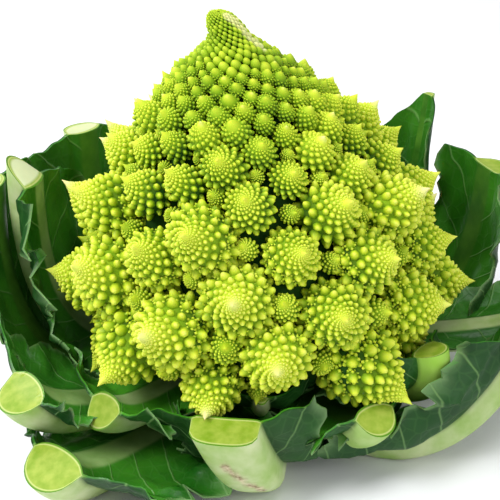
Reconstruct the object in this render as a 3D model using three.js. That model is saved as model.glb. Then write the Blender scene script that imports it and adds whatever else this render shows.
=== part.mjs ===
// A romanesco head as it is cut for sale: a pointed curd of spiralling florets on its short cut stalk,
// with the wrapper leaves round it trimmed back to their thick ribs. Millimetres, +Z up.
// The origin is the middle of the stalk's cut face, which rests on the surface. The viewer stands at -Y.
import * as THREE from "three";
import { mergeVertices } from "three/addons/utils/BufferGeometryUtils.js";

// Driving dimensions of the curd
const CURD_HEIGHT = 162; // tip of the curd above the surface
const CURD_NECK = 36; // height at which the curd sits on the stalk
const NECK_RADIUS = 23;
const LEAN = 12.5; // how far the tip leans to -X
const LEAN_BEND = 2.2; // above 1, the curd bends most near its tip
const SHIFT = 2; // how far the curd stands to +X of the stalk
const SHIFTED_BY = 0.2; // share of the curd's height at which it has shifted by all of that
const ROOT_DOME = [
  // radius and height of the surface that the florets grow from, from the tip to the rim
  [0, 161],
  [9, 149],
  [31, 126],
  [50, 97],
  [61, 70],
  [63, 54],
  [55, 39],
  [34, 36],
];
const GOLDEN_TURN = (137.508 * Math.PI) / 180;
const RIM_STEP = 0.029; // climb from one floret to the next, as a share of the dome's radius there
const CROWN_STEP = 0.0135; // the same near the tip, where the florets are smaller for the dome's radius
const CROWN_BLEND = [24, 50]; // radii of the dome between which one turns into the other
const LOWEST_FLORET = 52; // height of the lowest floret's root
const SMALLEST_RADIUS = 2.4; // the florets stop where the dome is this thin
const FLORET_HEIGHT = 1.36; // height of a floret, as a share of its half width
const FLORET_LIFT = 0.2; // how far a floret turns up from square to the dome
const PLAIN_HEIGHT = 0.8; // height of a floret too small for buds, as a share of that of one with buds
const BUD_HEIGHT = 0.16; // how far a bud stands out, as a share of the floret's half width
const BUD_SHRINK = 0.7; // size of each ring of buds beside the ring below it
const RIM_BUDS = 0.3; // how far up its ring a bud of the lowest ring sits, so that it clears the cell's edge
const FLARE = 0.75; // below 1, a floret's sides swell outwards between its edge and its tip
const ROUNDING = 2.5; // how soon a floret turns from its four-sided cell to a round cone
const BUD_SLANT = [0.8, 0.6]; // a bud's direction, away from the floret's axis and along it

// Driving dimensions of the stalk and of the gap that keeps touching pieces apart
const STALK_RADIUS = 24;
const STALK_FOOT = 22.5; // radius of the flat cut face
const STALK_RIM = 2; // height of the rounding at its rim
const STALK_WAIST = 23.5;
const STALK_SIDES = 28;
const GAP = 0.3;

const LEAF_THICKNESS = 1.5;
const LEAF_LOWEST = 0.6; // nothing but the stalk reaches lower than this

// Colours
const CURD_COLOUR = 0xa9c832;
const STALK_COLOUR = 0xd3dfa0;
const LEAF_COLOUR = 0x2c6a34;

const smooth = (from, to, x) => THREE.MathUtils.smoothstep(x, from, to);
const lerp = THREE.MathUtils.lerp;

// Closed bodies are gathered face by face, and their shared vertices are merged at the end.
class Faces {
  constructor() {
    this.numbers = [];
  }
  triangle(a, b, c) {
    for (const p of [a, b, c]) this.numbers.push(p.x, p.y, p.z);
  }
  quad(a, b, c, d) {
    this.triangle(a, b, c);
    this.triangle(a, c, d);
  }
  geometry() {
    const loose = new THREE.BufferGeometry();
    loose.setAttribute("position", new THREE.Float32BufferAttribute(this.numbers, 3));
    return mergeVertices(loose, 1e-4);
  }
}

const climbAt = (radius) => radius * lerp(CROWN_STEP, RIM_STEP, smooth(...CROWN_BLEND, radius));

// The dome is a curve turned about the upright axis. `level` counts florets up it, from 0 at the lowest.
// A level's climb shrinks with the radius, so florets keep their shape as they shrink to the tip.
function walkDome() {
  const profile = new THREE.SplineCurve(ROOT_DOME.map(([r, z]) => new THREE.Vector2(r, z)));
  const steps = profile.getPoints(600).reverse();
  const stations = [{ level: 0, radius: steps[0].x, height: steps[0].y }];
  for (let k = 1; k < steps.length - 1; k++) {
    const middle = (steps[k].x + steps[k - 1].x) / 2;
    const level = stations[k - 1].level + steps[k].distanceTo(steps[k - 1]) / climbAt(middle);
    stations.push({ level, radius: steps[k].x, height: steps[k].y });
  }
  const bottom = stations.find((s) => s.height > LOWEST_FLORET && s.radius > NECK_RADIUS).level;
  for (const s of stations) s.level -= bottom;
  return stations;
}
const STATIONS = walkDome();

// Point of the dome at a level and a turn, with its outward direction
function onDome(level, turn) {
  let k = 1;
  while (k < STATIONS.length - 1 && STATIONS[k].level < level) k++;
  const below = STATIONS[k - 1];
  const above = STATIONS[k];
  const share = (level - below.level) / (above.level - below.level);
  const radius = lerp(below.radius, above.radius, share);
  const height = lerp(below.height, above.height, share);
  const rise = new THREE.Vector2(above.height - below.height, below.radius - above.radius).normalize();
  return {
    radius,
    point: new THREE.Vector3(radius * Math.cos(turn), radius * Math.sin(turn), height),
    outward: new THREE.Vector3(rise.x * Math.cos(turn), rise.x * Math.sin(turn), rise.y),
  };
}

// Florets touch along spirals that skip 8 and 13 of them, so each has a four-sided cell between two of each.
const SPIRALS = [8, 13];
const SPIRAL_TURNS = SPIRALS.map((skip) => {
  const turn = skip * GOLDEN_TURN;
  return turn - 2 * Math.PI * Math.round(turn / (2 * Math.PI));
});

// Point at shares a and b of the two spirals from floret i, where -0.5 and 0.5 are the cell's sides
function cellPoint(i, a, b) {
  const level = i + a * SPIRALS[0] + b * SPIRALS[1];
  const turn = i * GOLDEN_TURN + a * SPIRAL_TURNS[0] + b * SPIRAL_TURNS[1];
  return onDome(level, turn).point;
}
const CELL_OUTLINE = [
  [0.5, -0.5],
  [0.5, 0],
  [0.5, 0.5],
  [0, 0.5],
  [-0.5, 0.5],
  [-0.5, 0],
  [-0.5, -0.5],
  [0, -0.5],
];
const ARMS = CELL_OUTLINE.length;

// One floret: a cone over its cell, whose rings of pyramid buds are staggered and shrink to the tip
function addFloret(faces, i, rings) {
  const { point: root, outward, radius } = onDome(i, i * GOLDEN_TURN);
  const axis = outward.clone().add(new THREE.Vector3(0, 0, FLORET_LIFT)).normalize();
  const outline = CELL_OUTLINE.map(([a, b]) => cellPoint(i, a, b));
  const halfWidth = Math.sqrt((Math.PI / 2) * radius * climbAt(radius));
  const height = FLORET_HEIGHT * halfWidth * (rings ? 1 : PLAIN_HEIGHT);
  const tip = root.clone().addScaledVector(axis, height);

  if (!rings) {
    for (let arm = 0; arm < ARMS; arm++) faces.triangle(outline[arm], outline[(arm + 1) % ARMS], tip);
    return;
  }

  // A place on the cone: share is 1 at the cell's edge and 0 at the tip, and arm counts eighths of a turn
  const onCone = (share, arm, bump) => {
    const k = Math.floor(arm);
    const edge = outline[k % ARMS].clone().lerp(outline[(k + 1) % ARMS], arm - k);
    const spread = edge.sub(root);
    const round = spread.clone().setLength(halfWidth);
    spread.lerp(round, Math.min(1, ROUNDING * (1 - share))).multiplyScalar(share ** FLARE);
    const place = root.clone().add(spread).addScaledVector(axis, height * (1 - share));
    const slant = spread.setLength(BUD_SLANT[0]).addScaledVector(axis, BUD_SLANT[1]);
    return place.addScaledVector(slant, bump * halfWidth * share);
  };
  const valley = (ring, arm) => onCone(BUD_SHRINK ** ring, arm + ring / 2, 0);

  for (let ring = 0; ring < rings; ring++) {
    for (let arm = 0; arm < ARMS; arm++) {
      const up = ring ? ring : RIM_BUDS;
      const bud = onCone(BUD_SHRINK ** up, arm + 0.5 + ring / 2, BUD_HEIGHT);
      const left = valley(ring, arm);
      const right = valley(ring, arm + 1);
      const top = valley(ring + 1, arm);
      faces.triangle(left, bud, top);
      faces.triangle(bud, right, top);
      if (ring === 0) {
        faces.triangle(left, right, bud);
      } else {
        const low = valley(ring - 1, arm + 1);
        faces.triangle(left, low, bud);
        faces.triangle(low, right, bud);
      }
    }
  }
  for (let arm = 0; arm < ARMS; arm++) {
    const left = valley(rings, arm);
    const right = valley(rings, arm + 1);
    faces.triangle(left, valley(rings - 1, arm + 1), right);
    faces.triangle(left, right, tip);
  }
}

// Rings of buds on a floret, by the dome's radius there
function budRings(radius) {
  if (radius > 54) return 4;
  if (radius > 40) return 3;
  if (radius > 31) return 2;
  return radius > 24 ? 1 : 0;
}

// The two halves of a cell's side, where the share of spiral n stays at `end`, each going anticlockwise
function cellSide(i, n, end) {
  const point = (t) => (n ? cellPoint(i, t, end) : cellPoint(i, end, t));
  const halves = [
    [point(-0.5), point(0)],
    [point(0), point(0.5)],
  ];
  return n ? halves : halves.map(([from, to]) => [to, from]);
}

function curdGeometry() {
  const faces = new Faces();
  const florets = Math.floor(STATIONS.findLast((s) => s.radius > SMALLEST_RADIUS).level);
  for (let i = 0; i < florets; i++) addFloret(faces, i, budRings(onDome(i, 0).radius));

  // Both ends of the lattice are chains of cell sides: the upper one closes on the tip, the lower on the neck.
  const tip = new THREE.Vector3(0, 0, CURD_HEIGHT);
  const middle = new THREE.Vector3(0, 0, CURD_NECK);
  const neck = (p) => new THREE.Vector3(p.x, p.y, 0).setLength(NECK_RADIUS).setZ(CURD_NECK);
  SPIRALS.forEach((skip, n) => {
    for (let k = 0; k < skip; k++) {
      for (const [from, to] of cellSide(florets - 1 - k, n, 0.5)) faces.triangle(from, to, tip);
      for (const [from, to] of cellSide(k, n, -0.5)) {
        faces.quad(to, from, neck(from), neck(to));
        faces.triangle(neck(to), neck(from), middle);
      }
    }
  });

  const geometry = faces.geometry();
  const place = geometry.attributes.position;
  for (let k = 0; k < place.count; k++) {
    const share = (place.getZ(k) - CURD_NECK) / (CURD_HEIGHT - CURD_NECK);
    place.setX(k, place.getX(k) + SHIFT * smooth(0, SHIFTED_BY, share) - LEAN * share ** LEAN_BEND);
  }
  return geometry;
}

// The short cut stalk: a flat foot with a rounded rim, and a flat top that the curd sits on
function stalkGeometry() {
  const top = CURD_NECK - GAP;
  const profile = [
    [0, 0],
    [STALK_FOOT, 0],
    [STALK_RADIUS, STALK_RIM],
    [STALK_WAIST, top / 2],
    [STALK_RADIUS, top],
    [0, top],
  ];
  const points = profile.map(([r, z]) => new THREE.Vector2(r, z));
  return new THREE.LatheGeometry(points, STALK_SIDES).rotateX(Math.PI / 2);
}

// Wrapper leaves. Each one leaves the stalk, runs out along the surface and turns up to where it was cut.
// They stand in tiers, which lie inside one another like bowls, and no two leaves of a tier overlap.
const ROOT_HEIGHTS = [11, 21, 31]; // inner face of the ribs of each tier at the stalk, the outermost first
// turn: directions at the stalk and at the cut in degrees, 0 towards the viewer and 90 to the viewer's right
// path: reach and height of the rib's inner face at two bends and at the cut
// rib: half width and depth at the stalk, then at the cut
// blade: width on each side of the rib at the cut, with the side that faces lower angles first
// rise: how far each side of the blade stands past the rib's cut
// curl: how far each edge curls inwards; slope: how much lower the outer edge of the cut is, as a share of its depth
const LEAVES = [
  {
    name: "leaf_front", tier: 0, turn: [5, -8], path: [50, 7, 67, 3, 74, 38],
    rib: [7, 8.5, 11.5, 11], blade: [12, 12], rise: [-4, 6], curl: [3, 4], slope: 0,
  },
  {
    name: "leaf_front_left", tier: 0, turn: [-46, -44], path: [60, 7, 92, 3, 101, 21],
    rib: [7, 8.5, 12, 11.5], blade: [14, 28], rise: [-4, -4], curl: [1, 4], slope: 0.1,
  },
  {
    name: "leaf_left", tier: 0, turn: [-92, -104], path: [62, 7, 104, 3, 105, 82],
    rib: [7, 8.5, 8, 9], blade: [16, 26], rise: [-2, 4], curl: [3, 4], slope: 0.3,
  },
  {
    name: "leaf_back_left", tier: 0, turn: [-138, -136], path: [62, 7, 104, 3, 102, 84],
    rib: [7, 8.5, 7.5, 8], blade: [15, 22], rise: [-6, -4], curl: [3, 3], slope: 0.2,
  },
  {
    name: "leaf_back", tier: 0, turn: [178, 179], path: [62, 7, 102, 3, 103, 60],
    rib: [7, 8.5, 9, 9], blade: [30, 26], rise: [-4, 0], curl: [3, 3], slope: 0.2,
  },
  {
    name: "leaf_right_tall", tier: 0, turn: [120, 116], path: [62, 7, 103, 3, 103, 80],
    rib: [7, 8.5, 7.5, 9], blade: [18, 16], rise: [4, 2], curl: [6, 3], slope: 0.1,
  },
  {
    name: "leaf_front_right", tier: 0, turn: [46, 80], path: [58, 6, 86, 1, 101, 50],
    rib: [7, 8.5, 9, 9], blade: [21, 6], rise: [-2, 0], curl: [16, 3], slope: 0.2,
  },
  {
    name: "leaf_inner_front", tier: 1, turn: [-16, -18], path: [44, 20, 56, 15, 64, 29],
    rib: [6.5, 7, 2, 2], blade: [5, 12], rise: [2, 3], curl: [3, 3], slope: 0.1,
  },
  {
    name: "leaf_left_low", tier: 1, turn: [-60.5, -59], path: [58, 21, 84, 16, 96, 36],
    rib: [6.5, 8, 11, 11], blade: [17, 5], rise: [14, 2], curl: [4, 3], slope: -0.1,
  },
  {
    name: "leaf_left_tall", tier: 1, turn: [-101, -104], path: [60, 18, 88, 14, 88, 85],
    rib: [7, 8, 7, 9], blade: [24, 24], rise: [-8, 2], curl: [4, 4], slope: -1,
  },
  {
    name: "leaf_back_inner", tier: 1, turn: [-152, -158], path: [60, 16, 88, 14, 90, 52],
    rib: [6.5, 8, 6, 5], blade: [18, 10], rise: [-4, 0], curl: [3, 3], slope: 0.2,
  },
  {
    name: "leaf_back_right", tier: 1, turn: [137, 132], path: [60, 16, 88, 14, 93, 104],
    rib: [6.5, 8, 2, 3], blade: [3, 14], rise: [-10, -22], curl: [3, 3], slope: 0.1,
  },
  {
    name: "leaf_stub_right", tier: 1, turn: [34, 34], path: [50, 20, 66, 18, 75, 34],
    rib: [7, 8, 7.5, 8], blade: [13, 9], rise: [-8, -3], curl: [2, 2], slope: 0.2,
  },
  {
    name: "leaf_inner_left", tier: 2, turn: [-42, -46], path: [48, 30, 66, 23, 75, 31],
    rib: [6.5, 7, 7, 9], blade: [12, 14], rise: [3, 8], curl: [4, 5], slope: 0,
  },
  {
    name: "leaf_inner_right", tier: 2, turn: [2, 2], path: [40, 30, 52, 25, 57, 37],
    rib: [6, 7, 2, 2], blade: [14, 14], rise: [2, 4], curl: [3, 3], slope: 0.1,
  },
  {
    name: "leaf_stub_far_right", tier: 2, turn: [57.5, 57], path: [50, 31, 79, 24, 73, 46],
    rib: [6.5, 7, 6.5, 8], blade: [22, 13], rise: [8, -3], curl: [6, 2], slope: 0,
  },
  {
    name: "leaf_right_far", tier: 2, turn: [92, 91], path: [56, 30, 88, 26, 118, 38],
    rib: [6.5, 7, 7, 9], blade: [8, 8], rise: [2, 4], curl: [2, 4], slope: 0.3,
  },
];

// Places across a leaf: on the rib as shares of its half width, then in the blade as shares of its width
const ACROSS = [
  { side: -1, rib: 1, blade: 1 },
  { side: -1, rib: 1, blade: 0.62 },
  { side: -1, rib: 1, blade: 0.25 },
  { side: -1, rib: 1, blade: 0 },
  { side: -1, rib: 0.6, blade: 0 },
  { side: 0, rib: 0, blade: 0 },
  { side: 1, rib: 0.6, blade: 0 },
  { side: 1, rib: 1, blade: 0 },
  { side: 1, rib: 1, blade: 0.25 },
  { side: 1, rib: 1, blade: 0.62 },
  { side: 1, rib: 1, blade: 1 },
];
const ALONG = [0, 0.22, 0.42, 0.58, 0.71, 0.82, 0.92, 1]; // shares of a leaf's length
const BLADE_FROM = 0.14; // shares of a leaf's length at which its blade begins to widen and has its full width
const BLADE_FULL = 0.76;
const BLADE_ROOT = 0.6; // width of the blade at the stalk
const WAVE = 2.6; // height of the waves along a blade's edge
const WAVES = 1.4; // waves from a leaf's root to its cut

function leafGeometry(leaf, index) {
  const [r1, z1, r2, z2, r3, z3] = leaf.path;
  const rib = new THREE.CubicBezierCurve(
    new THREE.Vector2(STALK_RADIUS + GAP, ROOT_HEIGHTS[leaf.tier]),
    new THREE.Vector2(r1, z1),
    new THREE.Vector2(r2, z2),
    new THREE.Vector2(r3, z3),
  );

  // Turns reach and height into a point, at a distance round the curd from the rib's middle
  const round = (v, reachAndHeight, across, lowest) => {
    const bend = lerp(leaf.turn[0], leaf.turn[1], v ** 2);
    const turn = THREE.MathUtils.degToRad(bend) + across / rib.getPoint(v).x;
    const reach = Math.max(reachAndHeight.x, STALK_RADIUS + GAP);
    const height = Math.max(reachAndHeight.y, lowest);
    return new THREE.Vector3(reach * Math.sin(turn), -reach * Math.cos(turn), height);
  };

  // Inner and outer surface at a share v of the leaf's length
  const section = (v, place) => {
    const grown = smooth(BLADE_FROM, BLADE_FULL, v);
    const hand = place.side < 0 ? 0 : 1;
    const halfRib = lerp(leaf.rib[0], leaf.rib[2], v) * place.rib;
    const depth = lerp(leaf.rib[1], leaf.rib[3], v) * Math.sqrt(1 - place.rib ** 2);
    const width = lerp(BLADE_ROOT, leaf.blade[hand], grown) * place.blade;
    const wave = WAVE * Math.sin(2 * Math.PI * WAVES * v + 2 * place.side + 2 * index);
    const inwards = grown * v * place.blade ** 2 * (leaf.curl[hand] + wave);
    const along = rib.getTangent(v);
    const square = new THREE.Vector2(-along.y, along.x);
    const inner = rib.getPoint(v).addScaledVector(along, leaf.rise[hand] * place.blade * v ** 3);
    inner.addScaledVector(square, inwards);
    const outer = inner.clone().addScaledVector(square, -LEAF_THICKNESS - depth);
    outer.addScaledVector(along, -leaf.slope * depth * v ** 4);
    const across = place.side * (halfRib + width);
    return {
      inner: round(v, inner, across, LEAF_LOWEST + LEAF_THICKNESS),
      outer: round(v, outer, across, LEAF_LOWEST),
    };
  };

  const rows = ALONG.map((v) => ACROSS.map((place) => section(v, place)));
  const last = ACROSS.length - 1;
  const faces = new Faces();
  for (let i = 0; i + 1 < rows.length; i++) {
    for (let k = 0; k < last; k++) {
      const [a, b, c, d] = [rows[i][k], rows[i][k + 1], rows[i + 1][k + 1], rows[i + 1][k]];
      faces.quad(a.inner, d.inner, c.inner, b.inner);
      faces.triangle(a.outer, b.outer, c.outer);
      faces.triangle(a.outer, c.outer, d.outer);
    }
    const [low, high] = [rows[i], rows[i + 1]];
    faces.quad(low[0].outer, high[0].outer, high[0].inner, low[0].inner);
    faces.quad(low[last].inner, high[last].inner, high[last].outer, low[last].outer);
  }
  const [first, final] = [rows[0], rows[rows.length - 1]];
  for (let k = 0; k < last; k++) {
    faces.quad(first[k].outer, first[k].inner, first[k + 1].inner, first[k + 1].outer);
    faces.quad(final[k].inner, final[k].outer, final[k + 1].outer, final[k + 1].inner);
  }
  return faces.geometry();
}

function addPiece(group, name, geometry, colour, roughness) {
  const material = new THREE.MeshStandardMaterial({ color: colour, roughness, metalness: 0 });
  const mesh = new THREE.Mesh(geometry, material);
  mesh.name = name;
  group.add(mesh);
}

const romanesco = new THREE.Group();
addPiece(romanesco, "curd", curdGeometry(), CURD_COLOUR, 0.6);
addPiece(romanesco, "stalk", stalkGeometry(), STALK_COLOUR, 0.55);
LEAVES.forEach((leaf, index) => addPiece(romanesco, leaf.name, leafGeometry(leaf, index), LEAF_COLOUR, 0.5));

export default romanesco;
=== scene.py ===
# %% [markdown]
# # A romanesco head, cut for sale
# The head is a curd of spiralling florets on a short cut stalk, inside the stubs of its wrapper leaves.
# Its plain solids are loaded first. They give the sizes and places, and a finer piece then replaces each.
# Lengths are in millimetres until a mesh is made, because that is how a grower measures a head.

# %% Load the head's solids
import math
import random

import bpy
import numpy as np
from mathutils import Matrix, Vector, noise


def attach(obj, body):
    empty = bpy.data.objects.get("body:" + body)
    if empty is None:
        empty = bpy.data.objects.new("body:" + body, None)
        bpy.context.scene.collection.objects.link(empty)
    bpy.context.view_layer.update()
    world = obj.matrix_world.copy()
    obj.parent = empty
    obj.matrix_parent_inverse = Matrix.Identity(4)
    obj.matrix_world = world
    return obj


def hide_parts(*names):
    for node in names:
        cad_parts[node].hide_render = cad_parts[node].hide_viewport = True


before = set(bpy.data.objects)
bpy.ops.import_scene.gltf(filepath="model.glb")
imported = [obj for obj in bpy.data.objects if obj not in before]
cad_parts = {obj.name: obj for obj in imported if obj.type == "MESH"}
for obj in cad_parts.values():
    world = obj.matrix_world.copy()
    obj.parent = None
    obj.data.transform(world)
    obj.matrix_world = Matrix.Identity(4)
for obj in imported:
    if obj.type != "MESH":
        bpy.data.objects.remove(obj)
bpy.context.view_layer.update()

MM = 0.001


# %% [markdown]
# ## The camera
# The photograph looks a little down on the head from the front, from about half a metre away.
# A long lens from there keeps the far leaves nearly as large as the near ones.

# %% Camera
CAMERA_TARGET = Vector((-2, 0, 66)) * MM
CAMERA_DISTANCE = 600 * MM
CAMERA_ELEVATION = math.radians(28)
SENSOR = 36  # millimetres across
VIEW_WIDTH = 190 * MM  # what the picture spans at the target

camera_data = bpy.data.cameras.new("camera")
camera_data.sensor_width = SENSOR
camera_data.lens = SENSOR * CAMERA_DISTANCE / VIEW_WIDTH
camera = bpy.data.objects.new("camera", camera_data)
bpy.context.scene.collection.objects.link(camera)
back = Vector((0, -math.cos(CAMERA_ELEVATION), math.sin(CAMERA_ELEVATION)))
camera.location = CAMERA_TARGET + back * CAMERA_DISTANCE
camera.rotation_euler = (math.pi / 2 - CAMERA_ELEVATION, 0, 0)
bpy.context.scene.camera = camera
print("lens:", round(camera_data.lens, 1), "mm")

# %% [markdown]
# ## Small tools
# Every model below starts as one of Blender's primitives and is shaped in edit mode. Operators work on
# all that is selected, so each model starts with nothing selected, and the points to move are picked
# by their place.


# %% Start, pick and finish a model
def nothing_selected():
    if bpy.context.mode != "OBJECT":
        bpy.ops.object.mode_set(mode="OBJECT")
    bpy.ops.object.select_all(action="DESELECT")


def only(model):
    """Selects this model alone, so that the next operator works on it."""
    nothing_selected()
    model.select_set(True)
    bpy.context.view_layer.objects.active = model


def pick(test):
    """In edit mode, selects the points whose place passes the test, and what lies between them."""
    model = bpy.context.object
    bpy.ops.mesh.select_all(action="DESELECT")
    bpy.ops.object.mode_set(mode="OBJECT")
    for point in model.data.vertices:
        point.select = bool(test(point.co))
    bpy.ops.object.mode_set(mode="EDIT")


def turned(name, outline, sides):
    """A closed body turned about the upright axis. Its outline starts and ends on the axis, foot first."""
    nothing_selected()
    bpy.ops.mesh.primitive_plane_add(size=1, location=(0, 0, 0))
    model = bpy.context.object
    model.name = name
    bpy.ops.object.mode_set(mode="EDIT")
    bpy.ops.mesh.merge(type="CENTER")
    bpy.ops.transform.translate(value=(outline[0][0], 0, outline[0][1]))
    for (r0, z0), (r1, z1) in zip(outline, outline[1:]):
        bpy.ops.mesh.extrude_region_move(TRANSFORM_OT_translate={"value": (r1 - r0, 0, z1 - z0)})
    bpy.ops.mesh.select_all(action="SELECT")
    bpy.ops.mesh.spin(steps=sides, angle=2 * math.pi, center=(0, 0, 0), axis=(0, 0, 1))
    bpy.ops.mesh.select_all(action="SELECT")
    bpy.ops.mesh.remove_doubles(threshold=1e-5)
    bpy.ops.mesh.normals_make_consistent(inside=False)
    bpy.ops.object.mode_set(mode="OBJECT")
    return model


# %% [markdown]
# ## Copies
# A curd holds thousands of buds, so one bud is modelled and its mesh is copied by arithmetic.
# A Shape keeps a model's points, its faces, and four tints that the paint reads later: how far up its
# own bud a point is, how near the floret's tip it is, a number that differs by floret, and how worn it is.


# %% Shapes and their copies
TINTS = ("bud", "tip", "kind", "worn")


class Shape:
    def __init__(self, points, corners, counts, tints):
        self.points = points
        self.corners = corners
        self.counts = counts
        self.tints = tints

    @classmethod
    def of(cls, model):
        mesh = model.data
        points = np.empty(len(mesh.vertices) * 3)
        corners = np.empty(len(mesh.loops), int)
        counts = np.empty(len(mesh.polygons), int)
        mesh.vertices.foreach_get("co", points)
        mesh.loops.foreach_get("vertex_index", corners)
        mesh.polygons.foreach_get("loop_total", counts)
        points = points.reshape(-1, 3)
        bpy.data.objects.remove(model)
        return cls(points, corners, counts, np.zeros((len(points), len(TINTS))))

    @classmethod
    def joined(cls, shapes):
        offsets = np.cumsum([0] + [len(s.points) for s in shapes])
        return cls(
            np.vstack([s.points for s in shapes]),
            np.concatenate([s.corners + offset for s, offset in zip(shapes, offsets)]),
            np.concatenate([s.counts for s in shapes]),
            np.vstack([s.tints for s in shapes]),
        )

    def placed(self, matrix):
        moved = self.points @ matrix[:3, :3].T + matrix[:3, 3]
        return Shape(moved, self.corners, self.counts, self.tints.copy())

    def tinted(self, name, values):
        self.tints[:, TINTS.index(name)] = values
        return self

    def dimmed(self, name, share):
        self.tints[:, TINTS.index(name)] *= share

    def triangles(self):
        return int((self.counts - 2).sum())

    def as_piece(self, name):
        mesh = bpy.data.meshes.new(name)
        mesh.vertices.add(len(self.points))
        mesh.loops.add(len(self.corners))
        mesh.polygons.add(len(self.counts))
        mesh.vertices.foreach_set("co", (self.points * MM).ravel())
        mesh.loops.foreach_set("vertex_index", self.corners)
        starts = np.concatenate([[0], np.cumsum(self.counts)[:-1]])
        mesh.polygons.foreach_set("loop_start", starts)
        mesh.polygons.foreach_set("use_smooth", np.ones(len(self.counts), bool))
        mesh.update(calc_edges=True)
        for k, tint in enumerate(TINTS):
            layer = mesh.attributes.new(tint, "FLOAT", "POINT")
            layer.data.foreach_set("value", self.tints[:, k].astype(np.float32))
        piece = bpy.data.objects.new(name, mesh)
        bpy.context.scene.collection.objects.link(piece)
        return piece


def placing(place, axis, size, turn=0.0, stretch=1.0):
    """The matrix that stands a unit model at a place, its upright axis along `axis`, scaled and turned."""
    up = Vector(axis).normalized().to_track_quat("Z", "Y").to_matrix().to_4x4()
    scale = Matrix.Diagonal((size, size, size * stretch, 1))
    return np.array(Matrix.Translation(Vector(place)) @ up @ Matrix.Rotation(turn, 4, "Z") @ scale)


# %% [markdown]
# ## The spiral that makes a romanesco
# Each new bud forms 137.5 degrees round from the last one, the golden angle, and a little further up.
# The climb shrinks with the radius, so the buds keep their shape as they shrink towards the tip.
# The same rule places florets on the curd, buds on each floret, and crumbs on the largest buds.

# %% Golden-angle places on a turned outline
GOLDEN_TURN = math.radians(137.508)


def spiral(outline, climb_at, first, smallest, below=0, shift=(0, 0)):
    """Places up an outline of (radius, height), from the height `first` until the radius is `smallest`.

    `below` adds that many places under the first one, and `shift` moves each by a climb and a turn.
    """
    radii = np.array([r for r, z in outline], float)
    heights = np.array([z for r, z in outline], float)
    gaps = np.hypot(np.diff(radii), np.diff(heights))
    middles = (radii[1:] + radii[:-1]) / 2
    levels = np.concatenate([[0], np.cumsum(gaps / np.array([climb_at(r) for r in middles]))])
    widest = int(np.argmax(radii))
    start = next(k for k in range(len(radii)) if heights[k] > first and radii[k] > smallest)
    stop = max(k for k in range(widest, len(radii)) if radii[k] > smallest)
    levels = levels - levels[start]
    places = []
    for i in range(-below, int(levels[stop] - shift[0])):
        level = i + shift[0]
        k = min(max(int(np.searchsorted(levels, level)), 1), len(levels) - 1)
        share = (level - levels[k - 1]) / (levels[k] - levels[k - 1])
        radius = radii[k - 1] + share * (radii[k] - radii[k - 1])
        height = heights[k - 1] + share * (heights[k] - heights[k - 1])
        turn = i * GOLDEN_TURN + shift[1]
        rise = Vector((heights[k] - heights[k - 1], radii[k - 1] - radii[k])).normalized()
        places.append({
            "place": Vector((radius * math.cos(turn), radius * math.sin(turn), height)),
            "outward": Vector((rise.x * math.cos(turn), rise.x * math.sin(turn), rise.y)),
            "radius": radius,
            "half_width": math.sqrt(math.pi / 2 * radius * climb_at(radius)),
        })
    return places


def smooth_line(stops, count):
    """A rounded line through the stops, of count + 1 points."""
    stops = [Vector(s) for s in stops]
    line = []
    for d in range(count + 1):
        spot = (len(stops) - 1) * d / count
        k = min(int(spot), len(stops) - 2)
        t = spot - k
        p0, p1, p2, p3 = stops[max(k - 1, 0)], stops[k], stops[k + 1], stops[min(k + 2, len(stops) - 1)]
        v0 = (p2 - p0) / 2
        v1 = (p3 - p1) / 2
        cubic = (2 * p1 - 2 * p2 + v0 + v1) * t**3
        square = (-3 * p1 + 3 * p2 - 2 * v0 - v1) * t**2
        line.append(tuple(cubic + square + v0 * t + p1))
    return line


# %% [markdown]
# ## The buds
# A young bud is a round bead. An older one is drawn out and narrowed to a tip. Its root is hidden in the
# floret, so it is a small sphere with its lower cap cut off. Buds under two millimetres across have fewer
# faces, because a picture shows no more of them than a point of light.


# %% Buds by size
def lerp(a, b, share):
    return a + (b - a) * share


def ease(low, high, x):
    t = np.clip((x - low) / (high - low), 0, 1)
    return t * t * (3 - 2 * t)


BEAD_CUT = -0.6  # the root is cut off below this height
BEAD_DRAWN_FROM = 0.2  # and the bead is drawn out above this one
BEAD_DRAWN_ABOUT = 0.1
BEAD_NARROWED_FROM = 0.4  # it narrows above this height, times how far it is drawn out
# The bud tint is low at a bud's foot, and the paint turns it dark there as painted shade.
BEAD_SHADE_FROM = -0.3  # the tint that says how far up the bud a point is starts here


def bead(sides, rings, drawn_out, narrowed):
    """A sphere of radius 1 without its root, lengthened and narrowed by these factors near its tip."""
    nothing_selected()
    bpy.ops.mesh.primitive_uv_sphere_add(segments=sides, ring_count=rings, radius=1, location=(0, 0, 0))
    model = bpy.context.object
    bpy.ops.object.mode_set(mode="EDIT")
    pick(lambda p: p.z < BEAD_CUT)
    bpy.ops.mesh.delete(type="VERT")
    pick(lambda p: p.z > BEAD_DRAWN_FROM)
    bpy.ops.transform.resize(value=(1, 1, drawn_out), center_override=(0, 0, BEAD_DRAWN_ABOUT))
    pick(lambda p: p.z > BEAD_NARROWED_FROM * drawn_out)
    bpy.ops.transform.resize(value=(narrowed, narrowed, 1), center_override=(0, 0, 0))
    bpy.ops.object.mode_set(mode="OBJECT")
    shape = Shape.of(model)
    height = shape.points[:, 2] - BEAD_SHADE_FROM
    return shape.tinted("bud", np.clip(height / height.max(), 0, 1))


LARGE_BEAD = bead(12, 10, 1.25, 0.92)
BEAD = bead(7, 6, 1.55, 0.76)
SMALL_BEAD = bead(6, 4, 1.4, 0.8)
CRUMB = bead(4, 4, 1.2, 0.85)
print("triangles of a bead:", [s.triangles() for s in (LARGE_BEAD, BEAD, SMALL_BEAD, CRUMB)])

# %% [markdown]
# The largest buds, at the foot of the large florets, are florets in the making: a ring of crumbs
# stands round the foot of each. The spiral rule places those crumbs on the bud as it will place the bud.

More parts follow.
